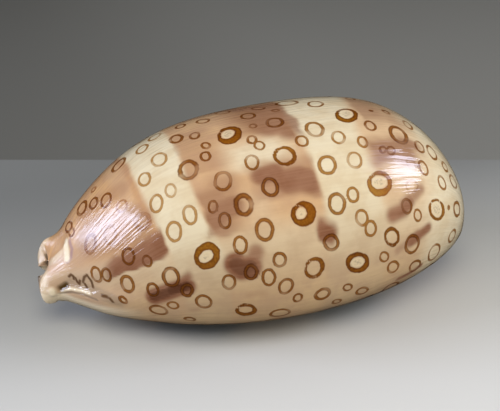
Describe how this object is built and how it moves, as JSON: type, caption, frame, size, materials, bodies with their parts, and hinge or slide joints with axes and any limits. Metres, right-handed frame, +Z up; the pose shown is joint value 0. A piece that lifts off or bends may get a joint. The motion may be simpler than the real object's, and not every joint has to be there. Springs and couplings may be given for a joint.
{
  "type": "eyed cowrie shell",
  "caption": "Hollow egg-shaped cowrie shell with a glossy ringed and banded back and a narrow toothed slit along its base.",
  "frame": {"origin": "centre of the shell's bounding box at the level it rests on", "axes": "+X along the shell from the narrow canal end to the round spire end, +Y towards the outer lip side, +Z up out of the back of the shell"},
  "size_m": [0.0781, 0.0448, 0.0324],
  "materials": {
    "shell": "glossy"
  },
  "bodies": {
    "root": {"shell": "shell"}
  },
  "joints": []
}
